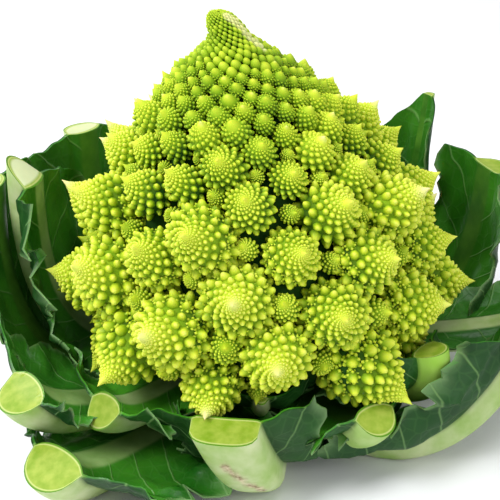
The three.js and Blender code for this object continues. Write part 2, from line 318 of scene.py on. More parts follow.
# %% Buds with a collar of crumbs
BUD_OUTLINE = [(0.55, -0.55), (0.9, -0.25), (1.0, 0.0), (0.86, 0.4), (0.65, 0.74), (0.38, 1.3), (0.05, 1.5)]
BUD_STEPS = 60
CRUMB_CLIMB = 0.075
CRUMB_TOP = 0.8  # crumbs reach in to this radius of the bud
CRUMB_TUCK = 0.93
CRUMB_LIFT = 0.25
CRUMB_SHADE = 0.35  # a crumb's foot gets this much less painted shade than a bud's


def collared(base, first, top, crumb):
    """A bud with crumbs from the height `first` up to where its radius is `top`."""
    shapes = [base]
    outline = smooth_line(BUD_OUTLINE, BUD_STEPS)
    for spot in spiral(outline, lambda r: r * CRUMB_CLIMB, first, top):
        axis = spot["outward"] + Vector((0, 0, CRUMB_LIFT))
        copy = crumb.placed(placing(spot["place"] * CRUMB_TUCK, axis, spot["half_width"]))
        copy.tinted("bud", lerp(CRUMB_SHADE, 1, copy.tints[:, TINTS.index("bud")]))
        shapes.append(copy)
    return Shape.joined(shapes)


COLLARED = collared(BEAD, -0.2, CRUMB_TOP, CRUMB)
print("triangles of a collared bud:", COLLARED.triangles())

# %% [markdown]
# ## The florets
# A floret grows from a smooth bead into a pinched cone covered in buds, and the youngest are at the
# curd's tip. So one function makes a floret of any age: its outline goes from the bead's to the cone's,
# and its buds reach further up it the older it is.

# %% A floret of any age
YOUNG_OUTLINE = [
    (0.5, -0.5), (0.8, -0.2), (0.84, 0.12), (0.76, 0.5), (0.55, 0.85), (0.27, 1.15), (0.0, 1.34),
]
OLD_OUTLINE = [
    (0.6, -0.72), (0.84, -0.4), (0.88, -0.04), (0.73, 0.34), (0.47, 0.7), (0.19, 1.06), (0.0, 1.44),
]
OUTLINE_STEPS = 48
BUD_CLIMB = 0.029
BUD_LIFT = 0.28  # how far a bud turns towards the floret's tip
BUD_TUCK = 0.97  # a bud's middle lies this share of the way out to the floret's surface
CORE_SIDES = 14
CORE_SHADE = 0.75  # how light the floret's own surface gets at its tip; lower down it is darker, as painted shade between the buds
CORE_SHADE_CURVE = 1.5
PALE_FROM = 0.1  # height from which the tint of the tip rises
LOWEST_BUD = -0.55  # height of a floret's lowest buds
YOUNG_TOP = 0.68  # radius to which the buds of the youngest florets reach in
LEAST_TOP = 0.03
BUD_SHARE = 0.2134  # a bud's half width, as a share of the floret's radius at its place
RIPE_RATE = 1.15  # how early the buds reach the tip as a floret ages
RIPE_CURVE = 0.45
BUD_STRAY = 0.14  # how far a bud turns to any side
BUD_GROWTH = 0.14  # buds differ in size by up to this share
LARGE_BUD = 2.1  # half width in mm from which a bud has its collar
SMALL_BUD = 0.95
TINY_BUD = 0.45
LEAST_BUD = 0.25
BUD_TURNS = (0, 6)  # in radians


def floret(half_width, age, seed):
    """A floret of half width 1, with as many buds as one of this real half width shows."""
    draw = random.Random(seed)
    outline = [
        (lerp(a[0], b[0], age), lerp(a[1], b[1], age)) for a, b in zip(YOUNG_OUTLINE, OLD_OUTLINE)
    ]
    line = smooth_line(outline, OUTLINE_STEPS)
    core = Shape.of(turned("core", [(0, outline[0][1])] + line[2::4] + [line[-1]], CORE_SIDES))
    height = core.points[:, 2]
    tip_height = outline[-1][1]
    # The core shows between the buds, so it is painted darker towards its foot as painted shade.
    core.tinted("bud", CORE_SHADE * np.clip(height / tip_height, 0, 1) ** CORE_SHADE_CURVE)
    core.tinted("tip", np.clip((height - PALE_FROM) / (tip_height - PALE_FROM), 0, 1))
    shapes = [core]
    old_top = LEAST_BUD / half_width / BUD_SHARE
    top = max(LEAST_TOP, lerp(YOUNG_TOP, old_top, min(1, age * RIPE_RATE) ** RIPE_CURVE))
    for spot in spiral(line, lambda r: r * BUD_CLIMB, LOWEST_BUD, top):
        real = spot["half_width"] * half_width
        model = COLLARED if real > LARGE_BUD else BEAD if real > SMALL_BUD else SMALL_BEAD
        if real < TINY_BUD:
            model = CRUMB
        stray = Vector([draw.uniform(-BUD_STRAY, BUD_STRAY) for k in range(3)])
        axis = spot["outward"] + Vector((0, 0, BUD_LIFT)) + stray
        size = spot["half_width"] * draw.uniform(1 - BUD_GROWTH, 1 + BUD_GROWTH)
        place = Vector((spot["place"].x * BUD_TUCK, spot["place"].y * BUD_TUCK, spot["place"].z))
        copy = model.placed(placing(place, axis, size, draw.uniform(*BUD_TURNS)))
        near_tip = min(1, max(0, (spot["place"].z - PALE_FROM) / (tip_height - PALE_FROM)))
        copy.tinted("tip", near_tip)
        shapes.append(copy)
    return Shape.joined(shapes)


# %% [markdown]
# ## The curd
# The florets stand on a dome close to the plain solid's, with less climb near the tip, so they stand denser
# there. The tip leans to the left. A body fills the dome between the florets' roots, painted dark as
# painted shade.

# %% Places of the florets
CURD_HEIGHT = 162
CURD_NECK = 36
NECK_RADIUS = 23
LEAN = 12.5
LEAN_BEND = 2.2
SHIFT = 2
SHIFTED_BY = 0.2
TIP_LEAN = 3.2  # how far the blunt tip leans further
TIP_FROM = 149
TIP_BEND = 1.3
DOME = [
    (0, 161), (3.6, 160), (5.9, 156), (9, 149), (31, 126),
    (50, 97), (61, 70), (63, 54), (55, 39), (34, 36),
]
DOME_STEPS = 600
CLIMB_AT_RIM = 0.029
CLIMB_AT_CROWN = 0.0115
CROWN_BLEND = (24, 50)
LOWEST_FLORET = 52
SKIRT_FLORETS = 9  # smaller florets under the lowest of the solid's
SMALLEST_RADIUS = 0.5
CROWN_LIFT = 0.6  # how far the crown's florets turn up
FLORET_LIFT = 0.2  # and the others


def floret_climb(radius):
    return radius * lerp(CLIMB_AT_CROWN, CLIMB_AT_RIM, ease(*CROWN_BLEND, radius))


dome_line = smooth_line(DOME, DOME_STEPS)[::-1][:-1]
floret_places = spiral(dome_line, floret_climb, LOWEST_FLORET, SMALLEST_RADIUS, SKIRT_FLORETS)
print("florets:", len(floret_places))


def lean(points):
    """Bends the upright curd to the left, most near its tip."""
    share = (points[:, 2] - CURD_NECK) / (CURD_HEIGHT - CURD_NECK)
    share = np.clip(share, 0, None)
    points[:, 0] += SHIFT * ease(0, SHIFTED_BY, share) - LEAN * share**LEAN_BEND
    at_tip = np.clip((points[:, 2] - TIP_FROM) / (CURD_HEIGHT - TIP_FROM), 0, 1)
    points[:, 0] -= TIP_LEAN * at_tip**TIP_BEND
    return points


# %% Florets by age, and their copies on the dome
AGES = [
    # Half width in mm up to which a floret looks like this, the half width it is made for, age, variants
    (2.0, 1.6, None, 1),
    (3.1, 2.6, 0.0, 2),
    (4.6, 3.8, 0.3, 3),
    (6.6, 5.6, 0.65, 3),
    (10.2, 8.4, 0.9, 3),
    (99.0, 12.5, 1.0, 4),
]
SLACK = 1.02  # florets just touch, with dark gaps between their buds
CROWN_SLACK = 1.12
TILT = 0.26
GROWTH = 0.17  # florets differ in size by up to this share
HEIGHTS = (0.86, 1.2)  # and in height for their width
DRIFT = 0.14  # and stand this share of their half width off their place
TIP_RADIUS = 9
CROWN_INSET = 0.96  # florets of the crown stand this share of the dome's radius out
CROWN_UNRIPE_AND_SHADED = 0.5  # the crown's buds are this much greener and darker: partly younger buds, partly painted shade on the top of the curd
CROWN_TIPS = 0.78  # and their tips this much less pale, for the same two causes
BEAD_TIP = 0.35  # the tint of the tip on florets that are still beads
FLORET_TURNS = (0, 6.28)
CURD_SEED = 3

floret_models = []
for stage, (widest, typical, age, variants) in enumerate(AGES):
    if age is None:
        floret_models.append([LARGE_BEAD])
    else:
        floret_models.append([floret(typical, age, 100 * stage + v) for v in range(variants)])
    print("floret of", typical, "mm:", floret_models[-1][0].triangles(), "triangles")

draw = random.Random(CURD_SEED)
florets = []
for spot in floret_places:
    half_width = spot["half_width"]
    stage = next(k for k, (widest, *rest) in enumerate(AGES) if half_width < widest)
    model = draw.choice(floret_models[stage])
    tilt = Vector([draw.uniform(-TILT, TILT) for k in range(3)])
    off_crown = ease(*CROWN_BLEND, spot["radius"])
    axis = spot["outward"] + Vector((0, 0, lerp(CROWN_LIFT, FLORET_LIFT, off_crown))) + tilt
    size = half_width * lerp(CROWN_SLACK, SLACK, off_crown) * draw.uniform(1 - GROWTH, 1 + GROWTH)
    inset = lerp(CROWN_INSET, 1, off_crown) if spot["radius"] > TIP_RADIUS else 1
    drift = Vector([draw.uniform(-DRIFT, DRIFT) for k in range(3)]) * half_width * off_crown
    place = spot["place"] * Vector((inset, inset, 1)) + drift
    copy = model.placed(placing(place, axis, size, draw.uniform(*FLORET_TURNS), draw.uniform(*HEIGHTS)))
    if stage == 0:
        copy.tinted("tip", BEAD_TIP)
    # Partly painted shade: the crown is darkened because its upward faces took more light than the front.
    copy.dimmed("bud", lerp(CROWN_UNRIPE_AND_SHADED, 1, off_crown))
    copy.dimmed("tip", lerp(CROWN_TIPS, 1, off_crown))
    copy.tinted("kind", draw.random())
    lean(copy.points)
    florets.append(copy)
print("triangles of the florets:", sum(f.triangles() for f in florets))

# %% [markdown]
# Four florets leave a deep gap where their corners meet. A small floret that found no room fills it.
# Florets touch along spirals that skip 8 and 13 of them, so a gap lies half of each skip further on.

# %% Small florets in the gaps
SKIPS = (8, 13)
GAP_SIZES = (0.28, 0.48)  # of its neighbours' half width
GAP_SINK = 0.12  # of its neighbours' half width
GAP_TALL = 1.15
LEAST_GAP = 5.5  # half width in mm of the neighbours from which a gap is worth filling
GAP_HALF_WIDTH = 4.2
GAP_AGE = 0.85
GAP_SEED = 900
GAP_VARIANTS = 3
GAPS_BELOW = SKIRT_FLORETS + 10  # places under the lowest of the solid's
GAP_TIPS = 0.5  # their tips are this much less pale
GAP_KIND = 0.2

gap_models = [floret(GAP_HALF_WIDTH, GAP_AGE, GAP_SEED + v) for v in range(GAP_VARIANTS)]
half_turns = [(skip * GOLDEN_TURN + math.pi) % (2 * math.pi) - math.pi for skip in SKIPS]
gap_shift = (sum(SKIPS) / 2, sum(half_turns) / 2)
for spot in spiral(dome_line, floret_climb, LOWEST_FLORET, SMALLEST_RADIUS, GAPS_BELOW, gap_shift):
    half_width = spot["half_width"]
    if half_width < LEAST_GAP:
        continue
    place = spot["place"] - spot["outward"] * half_width * GAP_SINK
    tilt = Vector([draw.uniform(-TILT, TILT) for k in range(3)])
    axis = spot["outward"] + Vector((0, 0, FLORET_LIFT)) + tilt
    size = draw.uniform(*GAP_SIZES) * half_width
    copy = draw.choice(gap_models).placed(placing(place, axis, size, draw.uniform(*FLORET_TURNS), GAP_TALL))
    copy.dimmed("tip", GAP_TIPS)
    copy.tinted("kind", GAP_KIND)
    lean(copy.points)
    florets.append(copy)
print("triangles with the small florets:", sum(f.triangles() for f in florets))

# %% [markdown]
# The right shoulder of the blunt tip carries a pale scar, where the tip rubbed against a leaf.

# %% Scar at the tip
SCAR_FROM = Vector((-9.5, -2.5, 160.5))
SCAR_TO = Vector((2.5, -3.0, 149.5))
SCAR_WIDTH = 1.5
SCAR_FADE = 1.8  # the scar has faded at this many times its width


def distance_to_line(points, start, end):
    """How far each point is from the straight line between two ends."""
    run = np.array(end) - np.array(start)
    offsets = points - np.array(start)
    share = np.clip(offsets @ run / (run @ run), 0, 1)
    return np.linalg.norm(offsets - share[:, None] * run, axis=1)


for shape in florets:
    distance = distance_to_line(shape.points, SCAR_FROM, SCAR_TO)
    shape.tinted("worn", 1 - ease(SCAR_WIDTH, SCAR_FADE * SCAR_WIDTH, distance))

# %% Pieces of the curd, from the rim to the tip
PIECE_TRIANGLES = 190000
curd_pieces = []
batch = []
for k, shape in enumerate(florets):
    batch.append(shape)
    full = sum(s.triangles() for s in batch) + florets[min(k + 1, len(florets) - 1)].triangles()
    if full > PIECE_TRIANGLES or k == len(florets) - 1:
        curd_pieces.append(Shape.joined(batch).as_piece(f"curd_florets_{len(curd_pieces) + 1}"))
        batch = []

# %% Body between the florets' roots
CORE_INSETS = (0.5, 6)  # at the tip and at the rim
CORE_TOP = 160
CORE_STEP = 14  # the body's outline takes every fourteenth point of the dome's
CORE_SINK = 0.6  # it lies lower by this share of its inset
CORE_LEAST_RADIUS = 0.4
BODY_SIDES = 48
BODY_PAINTED_SHADE = -0.3

core_line = []
for r, z in dome_line[::CORE_STEP]:
    inset = lerp(*CORE_INSETS, ease(0, CROWN_BLEND[1], r))
    core_line.append((max(r - inset, CORE_LEAST_RADIUS), max(z - inset * CORE_SINK, CURD_NECK)))
body_outline = [(0, CURD_NECK), (NECK_RADIUS, CURD_NECK)] + core_line + [(0, CORE_TOP)]
curd_body = Shape.of(turned("curd_body", body_outline, BODY_SIDES))
# Painted shade: the body takes a tint below the darkest bud's, so the gaps between the florets read as
# shadow.
curd_body.tinted("bud", BODY_PAINTED_SHADE)
lean(curd_body.points)
curd_pieces.append(curd_body.as_piece("curd_body"))
print("curd pieces:", len(curd_pieces))

# %% [markdown]
# ## The leaves
# A wrapper leaf is a thick pale rib with a thin waxy blade on each side, cut across near the curd's foot.
# It starts as a flat slab: a grid gives its length and width, and extruding gives it a thickness.
# Every point of the slab is then carried to its place on the leaf by the formula that the plain solids
# follow, with the crinkles, torn edges and puckers of a real leaf added.

# %% Sizes of the leaves
STALK_RADIUS = 24
GAP = 0.3
BLADE_THICKNESS = (1.5, 0.7)  # at the rib and at the edge
LEAF_LOWEST = 0.6
SOLID_THICKNESS = 1.5
ROOT_HEIGHTS = (11, 21, 31)
BLADE_FROM = 0.04
BLADE_FULL = 0.48
BLADE_ROOT = 0.6
WAVE = 2.6
WAVES = 1.4
SPREAD = 5  # how much wider the thin blade is than the solid's, on each side
SPREADS = {"leaf_stub_far_right": 0}  # this one is close to the florets, so it keeps the solid's width

# How square a rib's outer side is, where 2 is an ellipse, and how far it stands out on its inner side,
# as a share of its depth. Most ribs have the first form.
RIB_FORM = (2.0, 0.42)
RIB_FORMS = {
    "leaf_front": (3.4, 0.12),
    "leaf_back_right": (2.0, 0.0),
    "leaf_right_tall": (2.0, 0.1),
    "leaf_left_tall": (2.0, 0.3),
}

# How pale the inner side of a rib is, where it isn't as green as the blade
PALE_RIBS = {
    "leaf_right_far": 1.0,
    "leaf_inner_left": 0.55,
    "leaf_front_left": 0.35,
    "leaf_left_low": 0.35,
    "leaf_left_tall": 0.4,
}
# How lime the outer side of a rib is, where it is young, with painted light where the rib lies in shade
FRESH_AND_LIT_RIBS = {"leaf_stub_far_right": 0.75, "leaf_stub_right": 0.3}
# How far the middle of a cut has dried to white
DRIED_CUTS = {"leaf_left_tall": 1.0, "leaf_back_left": 0.8, "leaf_left": 0.5}

# Each leaf has the plain solid's numbers.
# tier: its height on the stalk; turn: its directions at the stalk and at the cut, in degrees, where
# 0 is towards the viewer
# path: reach and height of the rib's inner side at two bends and at the cut
# rib: half width and depth at the stalk, then at the cut; blade: width on each side of the rib
# rise: how far each side of the blade stands past the cut; curl: how far each edge curls inwards
# slope: how much lower the outer edge of the cut is, as a share of its depth
LEAVES = {
    "leaf_front": dict(
        tier=0, turn=(5, -8), path=(50, 7, 67, 3, 74, 38),
        rib=(7, 8.5, 11.5, 11), blade=(12, 12), rise=(-4, 6), curl=(3, 4), slope=0,
    ),
    "leaf_front_left": dict(
        tier=0, turn=(-46, -44), path=(60, 7, 92, 3, 101, 21),
        rib=(7, 8.5, 12, 11.5), blade=(14, 28), rise=(-4, -4), curl=(1, 4), slope=0.1,
    ),
    "leaf_left": dict(
        tier=0, turn=(-92, -104), path=(62, 7, 104, 3, 105, 82),
        rib=(7, 8.5, 8, 9), blade=(16, 26), rise=(-2, 4), curl=(3, 4), slope=0.3,
    ),
    "leaf_back_left": dict(
        tier=0, turn=(-138, -136), path=(62, 7, 104, 3, 102, 84),
        rib=(7, 8.5, 7.5, 8), blade=(15, 22), rise=(-6, -4), curl=(3, 3), slope=0.2,
    ),
    "leaf_back": dict(
        tier=0, turn=(178, 179), path=(62, 7, 102, 3, 103, 60),
        rib=(7, 8.5, 9, 9), blade=(30, 26), rise=(-4, 0), curl=(3, 3), slope=0.2,
    ),
    "leaf_right_tall": dict(
        tier=0, turn=(120, 116), path=(62, 7, 103, 3, 103, 80),
        rib=(7, 8.5, 7.5, 9), blade=(18, 16), rise=(4, 2), curl=(6, 3), slope=0.1,
    ),
    "leaf_front_right": dict(
        tier=0, turn=(46, 80), path=(58, 6, 86, 1, 101, 50),
        rib=(7, 8.5, 9, 9), blade=(21, 6), rise=(-2, 0), curl=(16, 3), slope=0.2,
    ),
    "leaf_inner_front": dict(
        tier=1, turn=(-16, -18), path=(44, 20, 56, 15, 64, 29),
        rib=(6.5, 7, 2, 2), blade=(5, 12), rise=(2, 3), curl=(3, 3), slope=0.1,
    ),
    "leaf_left_low": dict(
        tier=1, turn=(-60.5, -59), path=(58, 21, 84, 16, 96, 36),
        rib=(6.5, 8, 11, 11), blade=(17, 5), rise=(14, 2), curl=(4, 3), slope=-0.1,
    ),
    "leaf_left_tall": dict(
        tier=1, turn=(-101, -104), path=(60, 18, 88, 14, 88, 85),
        rib=(7, 8, 7, 9), blade=(24, 24), rise=(-8, 2), curl=(4, 4), slope=-1,
    ),
    "leaf_back_inner": dict(
        tier=1, turn=(-152, -158), path=(60, 16, 88, 14, 90, 52),
        rib=(6.5, 8, 6, 5), blade=(18, 10), rise=(-4, 0), curl=(3, 3), slope=0.2,
    ),
    "leaf_back_right": dict(
        tier=1, turn=(137, 132), path=(60, 16, 88, 14, 93, 104),
        rib=(6.5, 8, 2, 3), blade=(3, 14), rise=(-10, -22), curl=(3, 3), slope=0.1,
    ),
    "leaf_stub_right": dict(
        tier=1, turn=(34, 34), path=(50, 20, 66, 18, 75, 34),
        rib=(7, 8, 7.5, 8), blade=(13, 9), rise=(-8, -3), curl=(2, 2), slope=0.2,
    ),
    "leaf_inner_left": dict(
        tier=2, turn=(-42, -46), path=(48, 30, 66, 23, 75, 31),
        rib=(6.5, 7, 7, 9), blade=(12, 14), rise=(3, 8), curl=(4, 5), slope=0,
    ),
    "leaf_inner_right": dict(
        tier=2, turn=(2, 2), path=(40, 30, 52, 25, 57, 37),
        rib=(6, 7, 2, 2), blade=(14, 14), rise=(2, 4), curl=(3, 3), slope=0.1,
    ),
    "leaf_stub_far_right": dict(
        tier=2, turn=(57.5, 57), path=(50, 31, 79, 24, 73, 46),
        rib=(6.5, 7, 6.5, 8), blade=(22, 13), rise=(8, -3), curl=(6, 2), slope=0,
    ),
    "leaf_right_far": dict(
        tier=2, turn=(92, 91), path=(56, 30, 88, 26, 118, 38),
        rib=(6.5, 7, 7, 9), blade=(8, 8), rise=(2, 4), curl=(2, 4), slope=0.3,
    ),
}
print("leaves:", len(LEAVES))

# %% A slab that becomes a leaf
ACROSS_STEPS = 44
ALONG_STEPS = 50
LAYERS = (0.14, 0.36, 0.36, 0.14)  # shares of the thickness, so that a cut shows its rim
RIB_PART = 0.34  # share of the slab's width that becomes the rib


def slab(name):
    nothing_selected()
    bpy.ops.mesh.primitive_grid_add(
        x_subdivisions=ACROSS_STEPS, y_subdivisions=ALONG_STEPS, size=2, location=(0, 0, 0)
    )
    leaf = bpy.context.object
    leaf.name = name
    bpy.ops.object.mode_set(mode="EDIT")
    bpy.ops.mesh.select_all(action="SELECT")
    for layer in LAYERS:
        bpy.ops.mesh.extrude_region_move(TRANSFORM_OT_translate={"value": (0, 0, layer)})
    bpy.ops.mesh.select_all(action="SELECT")
    bpy.ops.mesh.normals_make_consistent(inside=False)
    bpy.ops.object.mode_set(mode="OBJECT")
    return leaf


# %% [markdown]
# A leaf's crinkles are largest at its edge, where the blade grew faster than its rib. They come from smooth
# random fields. The edge is torn in a few places, and the cut line of the blade is a little ragged.

# %% Crinkles, tears and puckers
LENGTH_STEPS = 60  # points that a rib's length is measured over
CRINKLE = 4.2
CRINKLE_LENGTH = 12
PUCKER = 0.8
PUCKER_LENGTH = 5
RAGGED = 0.3
RAGGED_LENGTH = 7
CUT_RAGGED = 3.5
FINE_RAGGED = 0.6  # a finer field is added to the edge by this share
FINER = 2.7  # how much finer
SIDES_APART = 40.0  # where the two edges read the field, so that they differ
NOISE_REACH = 1.8  # brings the noise up to about -1 to 1


def field(u, v, length, seed):
    """A smooth random field over the leaf, from about -1 to 1."""
    spots = zip(u / length, v / length)
    return np.array([noise.noise(Vector((a, b, seed))) * NOISE_REACH for a, b in spots])


def bezier(controls, v):
    w = 1 - v
    terms = (w**3, 3 * w**2 * v, 3 * w * v**2, v**3)
    slopes = (-3 * w**2, 3 * w**2 - 6 * w * v, 6 * w * v - 3 * v**2, 3 * v**2)
    place = [sum(t * c[axis] for t, c in zip(terms, controls)) for axis in (0, 1)]
    slope = [sum(s * c[axis] for s, c in zip(slopes, controls)) for axis in (0, 1)]
    length = np.hypot(*slope)
    return place[0], place[1], slope[0] / length, slope[1] / length


def bezier_length(controls):
    reach, height = bezier(controls, np.linspace(0, 1, LENGTH_STEPS))[:2]
    return float(np.hypot(np.diff(reach), np.diff(height)).sum())


# %% [markdown]
# The front rib has an old graze on its outer face, where the skin healed pale and corky.

# %% Graze on the front rib
GRAZED_LEAF = "leaf_front"
GRAZE = ((-2.0, 7.0), (3.5, 20.0))  # its ends: across the rib, and down from the cut
GRAZE_WIDTH = 1.5
GRAZE_FADE = (0.5, 1.3)  # shares of its width between which it fades
GRAZE_WOBBLE = 0.8
GRAZE_WOBBLE_LENGTH = 2.5
GRAZE_SEED = 77.0


def graze(across, down):
    distance = distance_to_line(np.stack([across, down], axis=1), *GRAZE)
    wobble = field(across, down, GRAZE_WOBBLE_LENGTH, GRAZE_SEED)
    fade_from, fade_to = GRAZE_FADE
    return 1 - ease(GRAZE_WIDTH * fade_from, GRAZE_WIDTH * fade_to, distance + GRAZE_WOBBLE * wobble)


AT_CUT = 0.9999  # a point this far along the leaf lies on its cut
RIB_EDGE = 0.07  # share of the blade over which the rib's colour fades on the outer side
KIND_STEP = 0.618  # spreads the leaves' colours


def shape_leaf(piece, index, tier, turn, path, rib, blade, rise, curl, slope):
    mesh = piece.data
    flat = np.empty(len(mesh.vertices) * 3)
    mesh.vertices.foreach_get("co", flat)
    x, y, z = flat.reshape(-1, 3).T
    v = np.clip((y + 1) / 2, 0, 1)
    side = np.where(x < -1e-6, -1, np.where(x > 1e-6, 1, 0))
    hand = (side > 0).astype(int)
    rib_share = np.clip(np.abs(x) / RIB_PART, 0, 1)
    blade_share = np.clip((np.abs(x) - RIB_PART) / (1 - RIB_PART), 0, 1)

    r1, z1, r2, z2, r3, z3 = path
    controls = ((STALK_RADIUS + GAP, ROOT_HEIGHTS[tier]), (r1, z1), (r2, z2), (r3, z3))
    reach, height, along_r, along_z = bezier(controls, v)
    length = bezier_length(controls)
    grown = ease(BLADE_FROM, BLADE_FULL, v)
    half_rib = lerp(rib[0], rib[2], v) * rib_share
    name = piece.name.removesuffix("_grown")
    square, bulge = RIB_FORMS.get(name, RIB_FORM)
    depth = lerp(rib[1], rib[3], v) * (1 - rib_share**square) ** (1 / square)
    full_width = lerp(BLADE_ROOT, np.choose(hand, blade) + SPREADS.get(name, SPREAD), grown)
    edge = field(v * length, SIDES_APART * side, RAGGED_LENGTH, index + 0.5)
    edge += FINE_RAGGED * field(v * length, SIDES_APART * side, RAGGED_LENGTH / FINER, index + 9.5)
    width = full_width * blade_share * (1 + RAGGED * grown * blade_share**3 * edge)
    u = side * (half_rib + width)

    wave = WAVE * np.sin(2 * math.pi * WAVES * v + 2 * side + 2 * index)
    inwards = grown * v * blade_share**2 * (np.choose(hand, curl) + wave)
    crinkle = CRINKLE * field(u, v * length, CRINKLE_LENGTH, index * 3.7) * blade_share
    off_rib = np.minimum(1, 3 * blade_share)
    crinkle += PUCKER * field(u, v * length, PUCKER_LENGTH, index * 5.1 + 3) * off_rib
    inwards = inwards + crinkle * grown
    raised = np.choose(hand, rise) * blade_share * v**3
    raised = raised + CUT_RAGGED * field(u, 0 * v, RAGGED_LENGTH, index + 20.5) * blade_share * v**12

    thick = lerp(BLADE_THICKNESS[0], BLADE_THICKNESS[1], blade_share) + depth
    inwards = inwards + bulge * depth * grown * v
    thick = thick + bulge * depth * grown * v
    inner_r = reach + along_r * raised - along_z * inwards
    inner_z = height + along_z * raised + along_r * inwards
    out = z / sum(LAYERS)
    drop = slope * depth * v**4
    point_r = inner_r + along_z * thick * out - along_r * drop * out
    point_z = inner_z - along_r * thick * out - along_z * drop * out

    angle = np.radians(lerp(turn[0], turn[1], v**2)) + u / reach
    point_r = np.maximum(point_r, STALK_RADIUS + GAP)
    floor = LEAF_LOWEST + SOLID_THICKNESS * (1 - out)
    point_z = np.maximum(point_z, floor)
    points = np.stack([point_r * np.sin(angle), -point_r * np.cos(angle), point_z], axis=1)
    mesh.vertices.foreach_set("co", (points * MM).ravel())

    at_cut = (v > AT_CUT).astype(float)
    inside = np.minimum(out, 1 - out) * thick
    rib_inside = 1 - ease(0.3, 0.95, rib_share)
    rib_outside = 1 - np.clip(blade_share / RIB_EDGE, 0, 1)
    layers = {
        "rib": np.where(out < 0.5, rib_inside, rib_outside),
        "kind": np.full(len(v), (index * KIND_STEP) % 1),
        "grazed": graze(u, (1 - v) * length) * out * (name == GRAZED_LEAF),
        "pale": np.full(len(v), PALE_RIBS.get(name, 0)),
        "dried": np.full(len(v), DRIED_CUTS.get(name, 0)),
        "fresh": np.full(len(v), FRESH_AND_LIT_RIBS.get(name, 0)),
        "across": u,
        "along": v * length,
        "flesh": at_cut * inside,
        "outside": out,
        "margin": ease(0.9, 1.0, blade_share),
        "stem": 1 - ease(0.0, 0.1, blade_share),
    }
    for label, values in layers.items():
        layer = mesh.attributes.new(label, "FLOAT", "POINT")
        layer.data.foreach_set("value", values.astype(np.float32))
    mark_cut_faces(mesh, v)
    mesh.update()


def mark_cut_faces(mesh, v):
    """A face of the cut is one whose corners all lie at the leaf's end."""
    layer = mesh.attributes.new("cut_face", "FLOAT", "FACE")
    marks = [float(all(v[k] > AT_CUT for k in face.vertices)) for face in mesh.polygons]
    layer.data.foreach_set("value", marks)


# %% Every leaf in its place
CREASE_ANGLE = math.radians(50)
leaves = []
for index, (name, numbers) in enumerate(LEAVES.items()):
    leaf = slab(name + "_grown")
    shape_leaf(leaf, index, **numbers)
    only(leaf)
    bpy.ops.object.mode_set(mode="EDIT")
    bpy.ops.mesh.select_all(action="SELECT")
    bpy.ops.mesh.normals_make_consistent(inside=False)
    bpy.ops.object.mode_set(mode="OBJECT")
    bpy.ops.object.shade_smooth_by_angle(angle=CREASE_ANGLE)
    leaves.append((name, leaf))
print("triangles of a leaf:", 2 * len(leaves[0][1].data.polygons))

# %% [markdown]
# ## The stalk
# The stalk is turned like a post. Its foot was cut flat with a knife, so its rim is only slightly rounded.

# %% Cut stalk
STALK_FOOT = 22.5
STALK_RIM = 2
STALK_WAIST = 23.5
STALK_TOP = CURD_NECK - GAP
STALK_SIDES = 72
STALK_CREASE = math.radians(40)

stalk_outline = [
    (0, 0),
    (STALK_FOOT * 0.5, 0),
    (STALK_FOOT * 0.96, 0),
    (STALK_FOOT, 0.15),
    (STALK_RADIUS - 0.5, STALK_RIM * 0.6),
    (STALK_RADIUS, STALK_RIM),
    (STALK_WAIST, STALK_TOP / 2),
    (STALK_RADIUS, STALK_TOP),
    (0, STALK_TOP),
]
stalk_shape = Shape.of(turned("stalk", stalk_outline, STALK_SIDES))
stalk = stalk_shape.as_piece("cut_stalk")
only(stalk)
bpy.ops.object.shade_smooth_by_angle(angle=STALK_CREASE)

# %% [markdown]
# ## Paint
# Blender's materials are networks of nodes. To keep the sums readable, a Number wraps the output of a node,
# so that `1 - a * b` adds the Math nodes that work it out.


# %% Numbers that build nodes
def colour(red, green, blue):
    """A screen colour from 0 to 255 as the linear values that a shader works with."""
    screen = [c / 255 for c in (red, green, blue)]
    return tuple(c / 12.92 if c <= 0.04045 else ((c + 0.055) / 1.055) ** 2.4 for c in screen) + (1.0,)


class Number:
    def __init__(self, paint, socket):
        self.paint = paint
        self.socket = socket

    def sum_with(self, operation, a, b):
        return self.paint.add("ShaderNodeMath", {"operation": operation}, {0: a, 1: b})

    def __add__(self, other):
        return self.sum_with("ADD", self, other)

    def __radd__(self, other):
        return self.sum_with("ADD", other, self)

    def __sub__(self, other):
        return self.sum_with("SUBTRACT", self, other)

    def __rsub__(self, other):
        return self.sum_with("SUBTRACT", other, self)

    def __mul__(self, other):
        return self.sum_with("MULTIPLY", self, other)

    def __truediv__(self, other):
        return self.sum_with("DIVIDE", self, other)

    def __abs__(self):
        return self.sum_with("ABSOLUTE", self, 0)


